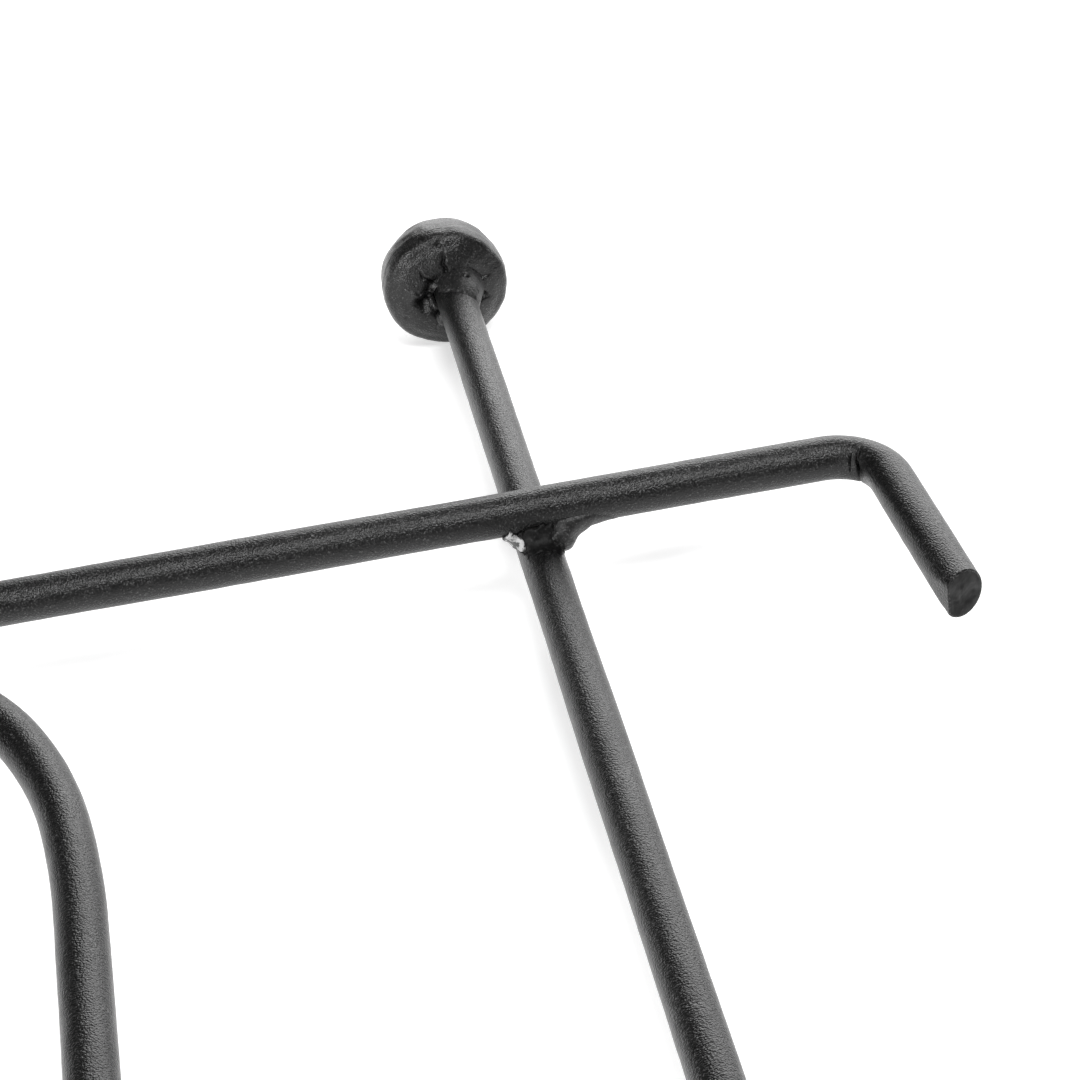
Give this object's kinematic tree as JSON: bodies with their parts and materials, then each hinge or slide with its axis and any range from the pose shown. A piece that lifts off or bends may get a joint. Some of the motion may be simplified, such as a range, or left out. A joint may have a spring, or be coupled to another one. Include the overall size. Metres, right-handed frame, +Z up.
{
  "type": "mug tree",
  "caption": "Free-standing mug tree of welded black-coated steel rod: rail and bar base on ball feet, a looped post with a carrying handle and upturned hooks.",
  "frame": {"origin": "on the counter, under the middle of the base", "axes": "+Z up; X along the base's cross bars; Y along its rails, +Y towards the back"},
  "size_m": [0.2618, 0.3184, 0.3503],
  "materials": {
    "rod_coat": "fine-grained matt black powder coat",
    "ball_coat": "matt black powder coat over pressed steel",
    "weld_coat": "semi-matt black coat over weld metal"
  },
  "bodies": {
    "root": {"left_rail": "rod_coat", "right_rail": "rod_coat", "back_left_ball_foot": "ball_coat", "back_right_ball_foot": "ball_coat", "front_left_ball_foot": "ball_coat", "front_right_ball_foot": "ball_coat", "back_cross_bar": "rod_coat", "front_cross_bar": "rod_coat", "base_loop": "rod_coat", "back_post_rod": "rod_coat", "front_post_rod": "rod_coat", "post_with_handle": "rod_coat", "lower_side_hook_bar": "rod_coat", "lower_front_hook_bar": "rod_coat", "upper_side_hook_bar": "rod_coat", "upper_front_hook_bar": "rod_coat", "rail_crossing_welds": "weld_coat", "loop_crown_welds": "weld_coat", "loop_side_welds": "weld_coat", "post_foot_welds": "weld_coat", "lower_hook_welds": "weld_coat", "upper_hook_welds": "weld_coat", "ball_collar_welds": "weld_coat"}
  },
  "joints": []
}
